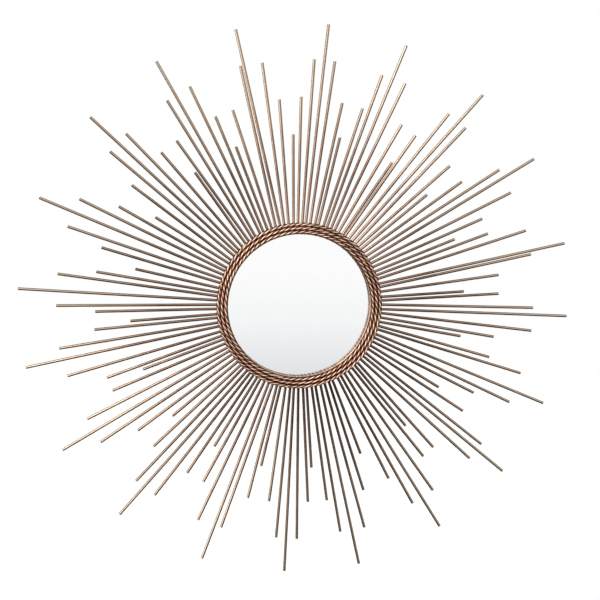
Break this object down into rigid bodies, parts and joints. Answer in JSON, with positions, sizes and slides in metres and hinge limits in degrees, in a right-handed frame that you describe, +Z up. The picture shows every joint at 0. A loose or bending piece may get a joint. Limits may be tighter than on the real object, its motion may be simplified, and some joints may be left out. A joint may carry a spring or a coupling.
{
  "type": "sunburst wall mirror",
  "caption": "Small round wall mirror in a shallow hoop edged with twisted wire, with straight metal rods of uneven length radiating from it as a sunburst.",
  "frame": {"origin": "on the wall, at the centre of the back board's rear face, behind the middle of the mirror", "axes": "+Z up, +X to the right as seen from the front, +Y out of the back into the wall, so the mirror faces -Y"},
  "size_m": [0.9134, 0.0244, 0.909],
  "materials": {
    "rod_bronze": "copper plate on round steel rod, blackened and rubbed back, satin, darker towards the hoop",
    "rope_copper": "copper plate on twisted steel wire, blackened and rubbed bright on the crowns",
    "mirror_glass": "silvered float glass",
    "back_board": "brown-stained hardboard",
    "hanger_plate": "zinc-plated"
  },
  "bodies": {
    "root": {"back_board": "back_board", "hanger_plate": "hanger_plate", "mirror_glass": "mirror_glass", "rope_ring_inner": "rope_copper", "rope_ring_middle": "rope_copper", "rope_ring_outer": "rope_copper", "ray_sector_01": "rod_bronze", "ray_sector_02": "rod_bronze", "ray_sector_03": "rod_bronze", "ray_sector_04": "rod_bronze", "ray_sector_05": "rod_bronze", "ray_sector_06": "rod_bronze", "ray_sector_07": "rod_bronze", "ray_sector_08": "rod_bronze", "ray_sector_09": "rod_bronze", "ray_sector_10": "rod_bronze", "ray_sector_11": "rod_bronze", "ray_sector_12": "rod_bronze", "ray_sector_13": "rod_bronze", "ray_sector_14": "rod_bronze", "ray_sector_15": "rod_bronze", "ray_sector_16": "rod_bronze", "ray_sector_17": "rod_bronze", "ray_sector_18": "rod_bronze", "ray_sector_19": "rod_bronze", "ray_sector_20": "rod_bronze"}
  },
  "joints": []
}
